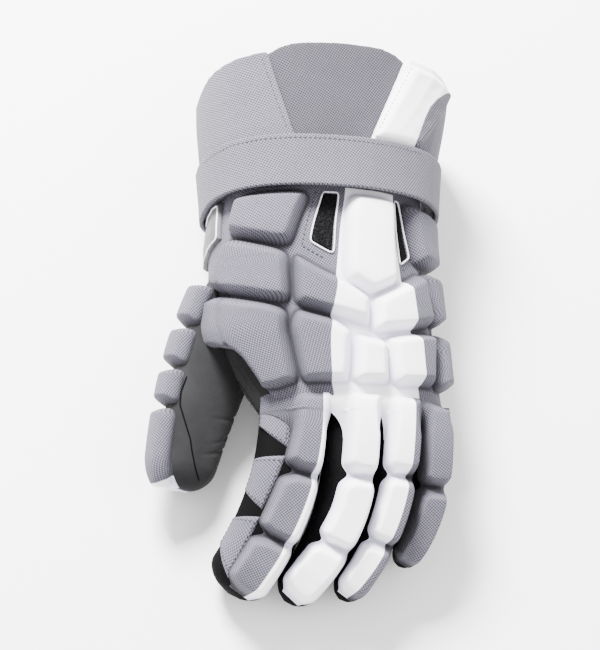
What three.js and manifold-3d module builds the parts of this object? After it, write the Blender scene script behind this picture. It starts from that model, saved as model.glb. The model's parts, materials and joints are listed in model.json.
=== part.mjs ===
// A left-hand lacrosse glove lying on its palm, in millimetres.
// +Z is up, the fingers point to -Y, the thumb lies on the -X side and the cuff opens towards +Y.
// The origin is on the flat patch of the palm's heel that the glove rests on.
import * as THREE from "three";
import { mergeVertices } from "three/addons/utils/BufferGeometryUtils.js";
import Module from "manifold-3d";

// Driving sizes of the hand
const HAND_LENGTH = 136; // back of the hand, from its wrist end to the knuckles
const HAND_WIDTH = 132; // the widest stretch, over the liner
const HAND_HEIGHT = 85; // floor to the top of the liner at the wrist
const WRIST_SHARE = 0.63; // share of the hand's length that lies on the cuff's side of the origin
const FABRIC = 1.6; // liner, palm and finger stall walls
const SEAM_GAP = 0.4; // between pieces that are sewn together
const HULL_GROWTH = 1.84; // over the liner, what cuts the thumb off there

// Driving sizes of the padding
const PAD_HEIGHT = 10; // foam blocks on the back of the hand
const FINGER_PAD_HEIGHT = 9.5;
const FINGER_PAD_LIFT = 1.1;
const PAD_CHANNEL = 1.6; // the groove's floor between two blocks
const PAD_BEVEL = 6.5; // how far the sloped sides reach in
const PAD_FACET = 11; // the longest flat stretch of a block's underside
const PAD_LIFT = 0.8; // under a block, so that its flat stretches clear the curved liner
const PAD_CLEARANCE = 1.4; // round a block of the back, what cuts the thumb off there
const TAB_HEIGHT = 1.2; // flat sewn tabs and mesh panels

// Driving sizes of the fingers and the thumb
const FINGER_LENGTH = 101; // the middle finger stall, root to tip
const FINGER_HEIGHT = 27;
const FINGER_REST = 0.2; // lowest point of a fingertip above the floor
const THUMB_LENGTH = 122;
const THUMB_WIDTH = 50;
const THUMB_HEIGHT = 23;
const THUMB_PAD_HEIGHT = 9;
const THUMB_PAD_LIFT = 1.2;

// Driving sizes of the cuff
const CUFF_START = 66; // lower edge of the cuff's wings, from the origin
const CUFF_LENGTH = 82; // from there to the top of the middle panel
const CUFF_CLEARANCE = 1.2; // between the liner and the cuff
const CUFF_WALL = 4;
const WING_WALL = 5;
const STRAP_WIDTH = 29;
const STRAP_WALL = 2.6;
const STRAP_START = 62.5; // the strap's edge towards the fingers, from the origin

const wristY = HAND_LENGTH * WRIST_SHARE;
const deg = Math.PI / 180;

const wasm = await Module();
wasm.setup();

// Colours of the materials
const finishes = {
  grey_weave: { color: 0xa7a5ab, roughness: 0.85 },
  white_weave: { color: 0xe9e9ec, roughness: 0.6 },
  black_stretch: { color: 0x131314, roughness: 0.8 },
  black_mesh: { color: 0x0c0c0d, roughness: 0.9 },
  grey_suede: { color: 0x454546, roughness: 0.95 },
  grey_gloss: { color: 0x8b8c8f, roughness: 0.45 },
};
const material = (name) => new THREE.MeshStandardMaterial({ metalness: 0, name, ...finishes[name] });

const glove = new THREE.Group();
glove.name = "lacrosse_glove";

function add(name, finish, geometry) {
  const mesh = new THREE.Mesh(geometry, material(finish));
  mesh.name = name;
  glove.add(mesh);
}

// Small maths helpers
const mix = (a, b, k) => a + (b - a) * k;
const signedPower = (value, power) => Math.sign(value) * Math.abs(value) ** power;
const steps = (from, to, count) => Array.from({ length: count + 1 }, (_, i) => mix(from, to, i / count));

// A row of a table of sections at a place between two of its rows, whose first column is the place.
function between(table, place) {
  const last = table.length - 1;
  const i = Math.max(0, Math.min(last - 1, table.findIndex((row) => row[0] > place) - 1));
  const from = place >= table[last][0] ? table[last - 1] : table[i];
  const to = place >= table[last][0] ? table[last] : table[i + 1];
  const share = (place - from[0]) / (to[0] - from[0]);
  return from.map((value, column) => mix(value, to[column], share));
}

// A closed section drawn as a flattened oval: a high arch above its widest line, a squarer bowl below.
function ovalPoint(row, y, turn) {
  const [left, right, top, middle, bottom] = row;
  const c = Math.cos(turn * deg);
  const s = Math.sin(turn * deg);
  const power = s >= 0 ? 2 / 2.3 : 2 / 3.2;
  const reach = s >= 0 ? top - middle : middle - bottom;
  const x = (left + right) / 2 + ((right - left) / 2) * signedPower(c, power);
  return new THREE.Vector3(x, y, middle + reach * signedPower(s, power));
}

// Lifts a point off a surface that is given as point(along, turn), along its outward normal.
function lifted(point, along, turn, lift, alongStep) {
  const at = point(along, turn);
  const across = point(along, turn + 1).sub(point(along, turn - 1));
  const down = point(along + alongStep, turn).sub(point(along - alongStep, turn));
  return at.addScaledVector(across.cross(down).normalize(), lift);
}

// Sections of the hand over its liner: along it from the wrist to the knuckles as a share of the length,
// left and right as shares of the width, top, middle and bottom as shares of the height.
const HAND_SECTIONS = [
  // along, left, right, top, middle, bottom
  [0.0, -0.475, 0.375, 1.0, 0.49, 0.03],
  [0.3, -0.508, 0.385, 0.976, 0.48, -0.03],
  [0.52, -0.508, 0.41, 0.941, 0.47, -0.03],
  [0.72, -0.5, 0.435, 0.882, 0.47, -0.015],
  [0.88, -0.385, 0.45, 0.824, 0.48, 0.14],
  [1.0, -0.305, 0.47, 0.776, 0.49, 0.2],
];

function handSection(along) {
  const [, left, right, top, middle, bottom] = between(HAND_SECTIONS, along);
  return [left * HAND_WIDTH, right * HAND_WIDTH, top * HAND_HEIGHT, middle * HAND_HEIGHT, bottom * HAND_HEIGHT];
}
const handPoint = (along, turn) => ovalPoint(handSection(along), wristY - along * HAND_LENGTH, turn);
const handSkin = (along, turn, lift) => lifted(handPoint, along, turn, lift, 0.01);

// Sections of the cuff's inside, from the lower edge of its wings to the top of the middle panel.
// They follow the hand at the wrist and flare towards the mouth, as shares of the hand's width and height.
const CUFF_SECTIONS = [
  // along, more left, more right, more height
  [0.0, 0.01, 0.015, 0.0],
  [0.35, 0.03, 0.03, 0.03],
  [0.65, 0.048, 0.065, 0.06],
  [1.0, 0.055, 0.095, 0.1],
];

function cuffPoint(along, turn) {
  const [, moreLeft, moreRight, moreHeight] = between(CUFF_SECTIONS, along);
  const [left, right, top, middle, bottom] = handSection(0);
  const row = [
    left - CUFF_CLEARANCE - moreLeft * HAND_WIDTH,
    right + CUFF_CLEARANCE + moreRight * HAND_WIDTH,
    top + CUFF_CLEARANCE + moreHeight * HAND_HEIGHT,
    middle,
    bottom + CUFF_CLEARANCE,
  ];
  return ovalPoint(row, CUFF_START + along * CUFF_LENGTH, turn);
}
const cuffSkin = (along, turn, lift) => {
  const at = cuffPoint(along, turn);
  const side = cuffPoint(along, turn + 1).sub(cuffPoint(along, turn - 1));
  return at.addScaledVector(side.cross(new THREE.Vector3(0, -1, 0)).normalize(), lift);
};

// A buffer geometry from triangles whose corners are vectors, with its faces turned outwards.
function closedGeometry(triangles) {
  const volume = triangles.reduce((sum, [a, b, c]) => sum + a.dot(b.clone().cross(c)), 0);
  const turned = volume < 0 ? triangles.map(([a, b, c]) => [a, c, b]) : triangles;
  return new THREE.BufferGeometry().setFromPoints(turned.flat());
}

const quad = (a, b, c, d) => [
  [a, b, c],
  [a, c, d],
];

// The solid between an outer and an inner sheet of points, each an equal grid of rows.
function sheetSolid(outer, inner) {
  const rows = outer.length - 1;
  const columns = outer[0].length - 1;
  const triangles = [];
  for (let i = 0; i < rows; i++) {
    for (let j = 0; j < columns; j++) {
      triangles.push(...quad(outer[i][j], outer[i][j + 1], outer[i + 1][j + 1], outer[i + 1][j]));
      triangles.push(...quad(inner[i][j], inner[i + 1][j], inner[i + 1][j + 1], inner[i][j + 1]));
    }
    triangles.push(...quad(outer[i][0], outer[i + 1][0], inner[i + 1][0], inner[i][0]));
    triangles.push(
      ...quad(outer[i + 1][columns], outer[i][columns], inner[i][columns], inner[i + 1][columns]),
    );
  }
  for (let j = 0; j < columns; j++) {
    triangles.push(...quad(outer[0][j + 1], outer[0][j], inner[0][j], inner[0][j + 1]));
    triangles.push(...quad(outer[rows][j], outer[rows][j + 1], inner[rows][j + 1], inner[rows][j]));
  }
  return closedGeometry(triangles);
}

// The solid skinned over a run of equal rings, each end closed by a fan.
function ringSolid(rings) {
  const count = rings[0].length;
  const triangles = [];
  rings.slice(1).forEach((ring, i) => {
    for (let j = 0; j < count; j++) {
      const k = (j + 1) % count;
      triangles.push(...quad(rings[i][j], rings[i][k], ring[k], ring[j]));
    }
  });
  for (const [ring, flip] of [
    [rings[0], true],
    [rings[rings.length - 1], false],
  ]) {
    const centre = ring.reduce((sum, p) => sum.add(p), new THREE.Vector3()).divideScalar(count);
    ring.forEach((p, j) => {
      const next = ring[(j + 1) % count];
      triangles.push(flip ? [centre, next, p] : [centre, p, next]);
    });
  }
  return closedGeometry(triangles);
}

// Manifold solids for the few cuts, and back.
function toSolid(geometry) {
  const merged = mergeVertices(geometry.clone(), 1e-4);
  return new wasm.Manifold(
    new wasm.Mesh({
      numProp: 3,
      vertProperties: merged.attributes.position.array,
      triVerts: new Uint32Array(merged.index.array),
    }),
  );
}

function toGeometry(solid) {
  const mesh = solid.getMesh();
  return new THREE.BufferGeometry()
    .setAttribute("position", new THREE.BufferAttribute(mesh.vertProperties, 3))
    .setIndex(new THREE.BufferAttribute(mesh.triVerts, 1));
}

// A wall of even thickness over a patch of a skin, with rows along it and columns round it.
function wall(skin, alongs, turns, lift, thickness) {
  const sheet = (at) => alongs.map((along) => turns(along).map((turn) => skin(along, turn, at)));
  return sheetSolid(sheet(lift + thickness), sheet(lift));
}

// The palm is pressed flat where it would reach under the floor, and its inside keeps its wall there.
const pressed = (skin, floor) => (along, turn, lift) => {
  const p = skin(along, turn, lift);
  p.z = Math.max(p.z, floor - Math.min(lift, 0));
  return p;
};

// A block of foam over four corners of a skin. Each corner is [along, turn]; the order is wrist end on the
// thumb side, wrist end on the little finger side, far end there, far end on the thumb side. Its sides
// stand a little, then slope in to a flat top. The bow pushes the middle of the far edge along the hand; a
// shoulder makes that edge reach its far corner early, as a share of the way, over a hollow arch.
function padSolid(skin, corners, options) {
  const { height, channel = PAD_CHANNEL, bevel = PAD_BEVEL, bow = 0, shoulder = 1, lift = PAD_LIFT } = options;
  const [wristThumb, wristLittle, farLittle, farThumb] = corners;
  const place = (u, v) => {
    const near = [mix(wristThumb[0], wristLittle[0], v), mix(wristThumb[1], wristLittle[1], v)];
    const reachedFar = shoulder < 1 ? Math.min(1, Math.max(0, v / shoulder)) ** 10 : v;
    const far = [mix(farThumb[0], farLittle[0], reachedFar), mix(farThumb[1], farLittle[1], v)];
    const peak = bow * (1 - Math.abs(2 * v - 1) ** 1.6);
    return [mix(near[0], far[0] + peak, u), mix(near[1], far[1], u)];
  };
  const at = (u, v, off) => skin(...place(u, v), off);
  const length = at(0, 0.5, 0).distanceTo(at(1, 0.5, 0));
  const width = at(0.5, 0, 0).distanceTo(at(0.5, 1, 0));
  const knots = (size) => {
    const edge = channel / 2 / size;
    const slope = Math.min(0.3, (channel / 2 + bevel) / size);
    const spans = Math.max(2, Math.ceil(((1 - 2 * slope) * size) / PAD_FACET));
    return [edge, ...steps(slope, 1 - slope, spans), 1 - edge];
  };
  const rowsU = knots(length);
  const columnsV = knots(width);
  const sheet = (top) =>
    rowsU.map((u, i) =>
      columnsV.map((v, j) => {
        const ring = Math.min(i, j, rowsU.length - 1 - i, columnsV.length - 1 - j, 2);
        return at(u, v, top ? lift + height * [0.42, 0.94, 1][ring] : lift);
      }),
    );
  return sheetSolid(sheet(true), sheet(false));
}

// The liner of the back and the palm panel share the hand's skin, split along the two side seams.
const SIDE_SEAM = 4; // turn below the widest line where back and palm meet
const seamTurn = SEAM_GAP / (HAND_HEIGHT / 2) / deg;
const handAlongs = steps(0, 1, 9);
const palmAlongs = steps(0.2, 1, 9);
const backTurns = () => steps(-SIDE_SEAM + seamTurn, 180 + SIDE_SEAM - seamTurn, 18);
const palmTurns = () => steps(180 + SIDE_SEAM + seamTurn, 360 - SIDE_SEAM - seamTurn, 16);
const backLiner = wall(handSkin, handAlongs, backTurns, -FABRIC, FABRIC);
const palmPanel = wall(pressed(handSkin, 0), palmAlongs, palmTurns, -FABRIC, FABRIC);

const TIP_ROUND = 0.12; // share of a digit's length over which its tip rounds off
const RING_SIDES = 16;

// A finger or thumb runs along a bent path; its skin is an oval round that path, turned about it by a roll.
function digit({ path, roll, width, height, taper, swell = 0 }) {
  const length = path.getLength();
  const frame = (t) => {
    const inside = Math.min(Math.max(t, 0), 1); // beyond its ends the digit carries on straight
    const tangent = path.getTangentAt(inside);
    const up = new THREE.Vector3(Math.sin(roll * deg), 0, Math.cos(roll * deg));
    const side = up.cross(tangent).normalize();
    const centre = path.getPointAt(inside).addScaledVector(tangent, (t - inside) * length);
    return { centre, side, up: tangent.clone().cross(side) };
  };
  // The section tapers, and near the tip it shrinks as a quarter circle does.
  const size = (t) => {
    const intoTip = Math.max(0, (t - 1 + TIP_ROUND) / TIP_ROUND);
    const along = Math.max(t, 0);
    const body = 1 - (1 - taper) * along ** 1.5 + swell * Math.sin(Math.PI * along);
    return body * Math.sqrt(Math.max(1 - intoTip ** 2, 0.0009));
  };
  // Half a section's width and height at a turn round it, as seen from its centre.
  const reach = (t, turn) => ({
    across: (width / 2) * size(t) * signedPower(Math.cos(turn * deg), 2 / 2.4),
    rise: (height / 2) * size(t) * signedPower(Math.sin(turn * deg), 2 / 2.4),
  });
  const point = (t, turn) => {
    const { centre, side, up } = frame(t);
    const { across, rise } = reach(t, turn);
    return centre.addScaledVector(side, across).addScaledVector(up, rise);
  };
  return { frame, reach, point, width, height, length };
}

// The closed-ended tube of a digit: rings up the inside, over the root's rim and down the outside.
const RING_TURN = 360 / RING_SIDES;
const ringTurns = (from, to) => steps(from * RING_TURN, to * RING_TURN, to - from);
function stall(d, rootT = 0) {
  const ring = (t, inset) =>
    ringTurns(0, RING_SIDES - 1).map((turn) => {
      const { centre } = d.frame(t);
      const away = d.point(t, turn).sub(centre);
      const full = away.length();
      return centre.addScaledVector(away.normalize(), Math.max(0.2, full - inset));
    });
  const places = [...steps(rootT, 1 - TIP_ROUND, 6), ...[0.5, 0.8, 0.97].map((k) => 1 - TIP_ROUND * (1 - k))];
  const outer = places.map((t) => ring(t, 0));
  const inner = places.slice(0, -1).map((t) => ring(t, FABRIC));
  return ringSolid([...inner.reverse(), ...outer]);
}

// The four fingers stand side by side across the knuckle end of the liner.
const FINGERS = [
  // name, share of the knuckle width, shares of the driving length and height, taper, swell, roll in degrees,
  // and as shares of the hand's width: where the tip lies across, and how far the last joint leans
  ["index", 0.346, 0.975, 1.0, 1.0, 0.05, 0, -0.4, 0.18],
  ["middle", 0.265, 1.0, 1.0, 0.9, 0.09, 2, -0.16, 0.25],
  ["ring", 0.215, 0.975, 0.97, 0.88, 0.02, 5, 0.075, 0.2],
  ["little", 0.174, 0.77, 0.92, 0.86, 0, 7, 0.33, 0.12],
];
const [knuckleLeft, linerRight, knuckleTop, , knuckleBottom] = handSection(1);
const knuckleRight = linerRight + 0.35 * PAD_HEIGHT; // the little finger stands under the side blocks
const knuckleY = wristY - HAND_LENGTH;
const FINGER_SPACE = 0.8; // between neighbouring finger stalls
const KNUCKLE_GAP = 0.6; // between the liner's edge and the finger stalls
let reached = knuckleLeft;
const fingers = {};
for (const [name, span, long, high, taper, swell, roll, tipAcross, lean] of FINGERS) {
  const share = span * (knuckleRight - knuckleLeft);
  const height = FINGER_HEIGHT * high;
  const length = FINGER_LENGTH * long;
  const rootX = reached + share / 2;
  reached += share;
  // The knuckles follow the arch of the liner's end.
  const arch = Math.abs((rootX - knuckleLeft) / (knuckleRight - knuckleLeft) - 0.42) ** 2 * HAND_HEIGHT * 0.25;
  const root = new THREE.Vector3(rootX, knuckleY - KNUCKLE_GAP, mix(knuckleBottom, knuckleTop, 0.56) - arch);
  const tipHeight = (height / 2) * Math.min(1, taper) + FINGER_REST;
  const tip = new THREE.Vector3(tipAcross * HAND_WIDTH, root.y - length, tipHeight);
  const path = new THREE.CubicBezierCurve3(
    root,
    root.clone().add(new THREE.Vector3(0, -0.38 * length, 0)),
    tip.clone().add(new THREE.Vector3(lean * HAND_WIDTH, 0.34 * length, (root.z - tip.z) * 0.45)),
    tip,
  );
  fingers[name] = digit({ path, roll, width: share - FINGER_SPACE, height, taper, swell });
}

// A brick of foam on a digit between two places along it. Its floor follows the digit's back round a run of
// the ring's corners; its top is nearly flat with sloped sides, and the far end of it can drop.
function brickSolid(d, { from, to, corners, height, drop }) {
  const length = (to - from) * d.length;
  const edge = PAD_CHANNEL / 2 / length;
  const slope = Math.min(0.3, PAD_BEVEL / length);
  const alongs = [edge, slope, 0.5, 1 - slope, 1 - edge];
  const turns = ringTurns(...corners);
  const sheet = (top) =>
    alongs.map((u, i) =>
      turns.map((turn, j) => {
        const t = mix(from, to, u);
        const { centre, side, up } = d.frame(t);
        const { across, rise } = d.reach(t, turn);
        const crown = d.reach(t, 90).rise + FINGER_PAD_LIFT + height * (1 - drop * u ** 2);
        const ring = Math.min(i, j, alongs.length - 1 - i, turns.length - 1 - j, 2);
        const level = [mix(rise, crown, 0.5), mix(rise, crown, 0.94), crown][ring];
        return centre.addScaledVector(side, across).addScaledVector(up, top ? level : rise + FINGER_PAD_LIFT);
      }),
    );
  return sheetSolid(sheet(true), sheet(false));
}

// Blocks on the back of the hand. Corners are [along the hand as a share, turn in degrees], in the order that
// padSolid gives; the bow is a share of the hand's length.
const BACK_PADS = [
  // name, finish, corners, bow, shoulder
  ["thumb_back_pad_1", "grey_weave", [[0.165, 146], [0.165, 98.5], [0.41, 108.5], [0.33, 150]], 0],
  ["thumb_back_pad_2", "grey_weave", [[0.337, 150.5], [0.42, 109.5], [0.645, 109], [0.55, 166.5]], 0],
  ["thumb_back_pad_3", "grey_weave", [[0.558, 167], [0.655, 108.5], [0.94, 119.5], [0.76, 176]], 0, 0.5],
  ["index_base_pad_1", "grey_weave", [[0.43, 106.5], [0.525, 88], [0.67, 91.5], [0.635, 106.5]], 0],
  ["index_base_pad_2", "grey_weave", [[0.655, 106.5], [0.685, 91.5], [0.945, 100.5], [0.945, 118]], 0],
  ["centre_pad", "white_weave", [[0.165, 83.5], [0.165, 55.5], [0.5, 55.5], [0.525, 86]], 0.068],
  ["knuckle_pad_1", "white_weave", [[0.53, 87], [0.6, 73.5], [0.705, 74], [0.675, 90.5]], 0],
  ["knuckle_pad_2", "white_weave", [[0.605, 72.5], [0.49, 51], [0.695, 48], [0.735, 74]], 0],
  ["knuckle_pad_3", "white_weave", [[0.69, 90.5], [0.735, 83.5], [0.945, 91.5], [0.945, 99.5]], 0],
  ["knuckle_pad_4", "white_weave", [[0.745, 82.5], [0.765, 66], [0.945, 69.5], [0.945, 90.5]], 0],
  ["knuckle_pad_5", "white_weave", [[0.76, 65.5], [0.73, 47], [0.94, 48.5], [0.945, 68.5]], 0],
  ["ring_side_pad_1", "grey_weave", [[0.485, 50], [0.44, 34.5], [0.665, 27], [0.695, 47]], 0],
  ["ring_side_pad_2", "grey_weave", [[0.725, 46], [0.69, 26.5], [0.93, 30], [0.935, 47.5]], 0],
  ["little_side_pad_1", "grey_weave", [[0.165, 49.5], [0.165, 4], [0.39, -1], [0.415, 39.5]], 0],
  ["little_side_pad_2", "grey_weave", [[0.435, 33], [0.405, -2], [0.61, -3], [0.66, 25.5]], 0],
  ["little_side_pad_3", "grey_weave", [[0.685, 25.5], [0.66, -3], [0.9, -3], [0.93, 29]], 0],
];
for (const [name, finish, corners, bow, shoulder] of BACK_PADS) {
  add(name, finish, padSolid(handSkin, corners, { height: PAD_HEIGHT, bow, shoulder }));
}

// Mesh windows beside the centre pad, and the smooth flap under the cuff on the thumb side.
const FLAT_PATCHES = [
  // name, finish, corners, height
  ["vent_mesh_thumb_side", "black_mesh", [[0.165, 93], [0.165, 87], [0.425, 89], [0.375, 98.5]], TAB_HEIGHT],
  ["vent_mesh_little_side", "black_mesh", [[0.165, 54], [0.165, 51], [0.39, 42.5], [0.435, 51.5]], TAB_HEIGHT],
  ["cuff_side_flap", "grey_gloss", [[0.155, 204], [0.155, 160], [0.33, 157], [0.37, 198]], 3.2],
];
for (const [name, finish, corners, height] of FLAT_PATCHES) {
  add(name, finish, padSolid(handSkin, corners, { height, bevel: 1.2 }));
}

// A stall for each finger with bricks on its back: three of them, or two on the little finger.
const FINGER_PADS = [
  // finger, finish, from, to, the ring's corners from the little finger's side, lower far end
  ["index", "grey_weave", 0.0, 0.32, [1, 4], 0.0],
  ["index", "grey_weave", 0.32, 0.645, [1, 5], 0.0],
  ["index", "grey_weave", 0.645, 0.965, [1, 5], 0.3],
  ["middle", "white_weave", 0.0, 0.315, [1, 5], 0.0],
  ["middle", "white_weave", 0.315, 0.645, [1, 5], 0.0],
  ["middle", "white_weave", 0.645, 0.965, [1, 6], 0.3],
  ["ring", "white_weave", 0.0, 0.315, [1, 6], 0.0],
  ["ring", "white_weave", 0.315, 0.645, [1, 6], 0.0],
  ["ring", "white_weave", 0.645, 0.965, [1, 6], 0.3],
  ["little", "grey_weave", 0.0, 0.43, [1, 7], 0.0],
  ["little", "grey_weave", 0.43, 0.965, [1, 7], 0.3],
];
const padCount = {};
for (const [finger, finish, from, to, corners, drop] of FINGER_PADS) {
  if (!padCount[finger]) add(`${finger}_stall`, "black_stretch", stall(fingers[finger]));
  padCount[finger] = (padCount[finger] ?? 0) + 1;
  const brick = brickSolid(fingers[finger], { from, to, corners, height: FINGER_PAD_HEIGHT, drop });
  add(`${finger}_pad_${padCount[finger]}`, finish, brick);
}

// Flat sewn tabs on the thumb side of the index finger, one beside each of its bricks.
const INDEX_TABS = [
  // along at the brick, along at the outer edge, turn at the brick
  [0.015, 0.24, 0.015, 0.11, 94],
  [0.27, 0.55, 0.3, 0.48, 116],
  [0.6, 0.93, 0.64, 0.8, 116],
];
const TAB_OUTER_TURN = 168; // round the index stall, where the tabs end
const indexSkin = (t, turn, lift) => lifted(fingers.index.point, t, turn, lift, 0.01);
INDEX_TABS.forEach(([innerFrom, innerTo, outerFrom, outerTo, innerTurn], i) => {
  const corners = [
    [outerFrom, TAB_OUTER_TURN],
    [innerFrom, innerTurn],
    [innerTo, innerTurn],
    [outerTo, TAB_OUTER_TURN],
  ];
  add(`index_tab_${i + 1}`, "grey_weave", padSolid(indexSkin, corners, { height: TAB_HEIGHT, bevel: 1 }));
});

// The thumb lies beside and below the hand, rolled so that its soft face looks up towards the index finger.
const THUMB_ROLL = 217; // turns its back, with the pads, down and outwards
const thumbStart = new THREE.Vector3(-0.3 * HAND_WIDTH, 0.2 * HAND_LENGTH, 0.48 * HAND_HEIGHT);
const thumbBend = new THREE.Vector3(-0.53 * HAND_WIDTH, -0.13 * HAND_LENGTH, 0.39 * HAND_HEIGHT);
const thumbTip = new THREE.Vector3(-0.6 * HAND_WIDTH, 0.2 * HAND_LENGTH - THUMB_LENGTH, 0.275 * HAND_HEIGHT);
const thumb = digit({
  path: new THREE.QuadraticBezierCurve3(thumbStart, thumbBend, thumbTip),
  roll: THUMB_ROLL,
  width: THUMB_WIDTH,
  height: THUMB_HEIGHT,
  taper: 0.68,
  swell: 0.08,
});

// A solid of the whole hand, grown by a clearance, cuts the thumb off where it meets the liner.
const handRings = (grow) =>
  steps(-0.02, 1.02, 18).map((along) =>
    steps(0, 360, 36)
      .slice(0, -1)
      .map((turn) => handSkin(Math.min(Math.max(along, 0), 1), turn, grow).setY(wristY - along * HAND_LENGTH)),
  );
const thumbRings = (grow, toT) =>
  steps(0, toT, 14).map((t) =>
    ringTurns(0, RING_SIDES - 1).map((turn) => lifted(thumb.point, t, turn, grow, 0.01)),
  );
const handHull = toSolid(ringSolid(handRings(HULL_GROWTH)));
const thumbHull = toSolid(ringSolid(thumbRings(SEAM_GAP, 0.97)));
const nextToThumb = BACK_PADS.filter(([name]) => /^thumb_back_pad_[23]$/.test(name));
const besideThumb = nextToThumb.map(([, , corners, , shoulder]) => {
  const grown = { height: PAD_HEIGHT + 2 * PAD_LIFT, channel: -2 * PAD_CLEARANCE, shoulder, lift: 0 };
  return toSolid(padSolid(handSkin, corners, grown));
});
const awayFromHand = (geometry) =>
  biggest([handHull, ...besideThumb].reduce((rest, cutter) => rest.subtract(cutter), toSolid(geometry)));
const biggest = (solid) => solid.decompose().sort((a, b) => b.volume() - a.volume())[0];
add("thumb_stall", "grey_suede", toGeometry(awayFromHand(stall(thumb, 0.05))));
add("back_liner", "grey_weave", toGeometry(biggest(toSolid(backLiner).subtract(thumbHull))));
add("palm_panel", "grey_suede", toGeometry(biggest(toSolid(palmPanel).subtract(thumbHull))));

// Blocks on the outer side of the thumb, which wrap round its upper edge.
const thumbSkin = (t, turn, lift) => lifted(thumb.point, t, turn, lift, 0.01);
const THUMB_TURNS = [-22, 128];
const THUMB_PADS = [
  // name, finish, from, to
  ["thumb_pad_1", "grey_weave", 0.17, 0.35],
  ["thumb_pad_2", "grey_weave", 0.352, 0.52],
  ["thumb_pad_3", "grey_weave", 0.522, 0.68],
  ["thumb_pad_4", "grey_weave", 0.682, 0.95],
  ["thumb_tip_cap", "white_weave", 0.952, 0.985],
];
for (const [name, finish, from, to] of THUMB_PADS) {
  const corners = [
    [from, THUMB_TURNS[1]],
    [from, THUMB_TURNS[0]],
    [to, THUMB_TURNS[0]],
    [to, THUMB_TURNS[1]],
  ];
  const pad = padSolid(thumbSkin, corners, { height: THUMB_PAD_HEIGHT, bevel: 4, lift: THUMB_PAD_LIFT });
  add(name, finish, toGeometry(biggest(awayFromHand(pad).subtract(thumbHull))));
}

// The cuff: a middle panel inside, two wings that wrap over it, a white pad and the strap round all. Away from
// the middle panel the wings and the strap settle on the hand.
const WING_RISE = CUFF_WALL + SEAM_GAP;
const rise = (turn) => WING_RISE * Math.min(1, Math.max(0, (80 - Math.abs(turn - 90)) / 34));
const cuffOuter = (along, turn, lift) => cuffSkin(along, turn, lift + rise(turn) + SEAM_GAP);
const middleTurns = () => steps(54, 128, 12);
const middlePanelTop = (along, turn, lift) => {
  const round = 1 - ((turn - 91) / 37) ** 4 * 0.16; // the panel's top corners are rounded off
  return cuffSkin(along * round, turn, lift);
};
add("cuff_back", "grey_weave", wall(middlePanelTop, steps(0, 1, 7), middleTurns, 0, CUFF_WALL));

// A wing's top edge falls away towards the palm, and its edge on the back leans outwards.
function wing(alongTop, alongSide, turnsAt) {
  const topAt = (turn) => mix(alongTop, alongSide, Math.min(1, Math.abs(turn - 90) / 90) ** 2.5);
  const skin = (along, turn, lift) => cuffOuter(along * topAt(turn), turn, lift);
  return wall(skin, steps(0, 1, 7), turnsAt, 0, WING_WALL);
}
const thumbWingTurns = (along) => steps(mix(100, 121, along), 218, 12);
const littleWingTurns = (along) => steps(-38, mix(82, 61, along), 12);
add("cuff_thumb_wing", "grey_weave", wing(0.92, 0.8, thumbWingTurns));
add("cuff_little_wing", "grey_weave", wing(0.93, 0.82, littleWingTurns));
const strapEnd = (STRAP_START + STRAP_WIDTH - CUFF_START) / CUFF_LENGTH;
const whitePanelCorners = [
  [strapEnd + 0.01, 75],
  [strapEnd + 0.01, 48],
  [0.83, 22],
  [0.88, 60],
];
add(
  "cuff_white_panel",
  "white_weave",
  padSolid(cuffOuter, whitePanelCorners, { height: 3.5, bevel: 3, lift: WING_WALL + PAD_LIFT }),
);
const strapStart = (STRAP_START - CUFF_START) / CUFF_LENGTH;
add(
  "wrist_strap",
  "grey_weave",
  wall(
    (along, turn, lift) => cuffOuter(Math.max(along, 0), turn, lift).setY(CUFF_START + along * CUFF_LENGTH),
    steps(strapStart, strapEnd, 3),
    () => steps(-30, 212, 30),
    WING_WALL + SEAM_GAP,
    STRAP_WALL,
  ),
);

export default glove;
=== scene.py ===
# %% [markdown]
# # A lacrosse glove
# The glove lies on its palm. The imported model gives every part's place, and each cell below dresses one
# part of it: quilted foam padding, stretch cloth between the fingers, a suede thumb, a split cuff and its
# strap. Everything is in metres, with the fingers towards -Y, the thumb towards -X and up along +Z.

# %% Load the frame
import json
import math

import bmesh
import bpy
import numpy as np
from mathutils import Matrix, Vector
from mathutils.bvhtree import BVHTree

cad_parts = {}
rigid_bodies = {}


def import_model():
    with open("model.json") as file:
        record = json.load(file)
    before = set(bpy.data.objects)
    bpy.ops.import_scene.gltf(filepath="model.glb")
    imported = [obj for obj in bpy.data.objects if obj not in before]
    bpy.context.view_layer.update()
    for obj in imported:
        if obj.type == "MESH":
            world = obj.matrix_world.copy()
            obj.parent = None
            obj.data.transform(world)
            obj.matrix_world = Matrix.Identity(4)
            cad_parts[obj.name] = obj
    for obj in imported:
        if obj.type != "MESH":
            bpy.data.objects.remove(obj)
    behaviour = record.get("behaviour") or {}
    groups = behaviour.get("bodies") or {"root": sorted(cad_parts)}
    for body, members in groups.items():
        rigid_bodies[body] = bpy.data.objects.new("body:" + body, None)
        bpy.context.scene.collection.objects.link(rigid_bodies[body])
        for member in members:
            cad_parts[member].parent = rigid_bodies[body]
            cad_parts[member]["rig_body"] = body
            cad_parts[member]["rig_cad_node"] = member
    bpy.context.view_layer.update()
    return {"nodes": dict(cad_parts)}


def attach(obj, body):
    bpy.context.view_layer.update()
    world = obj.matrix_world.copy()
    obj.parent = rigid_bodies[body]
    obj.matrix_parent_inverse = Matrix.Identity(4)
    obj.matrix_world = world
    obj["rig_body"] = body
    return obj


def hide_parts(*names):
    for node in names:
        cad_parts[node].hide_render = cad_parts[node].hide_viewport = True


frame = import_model()
MM = 0.001

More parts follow.
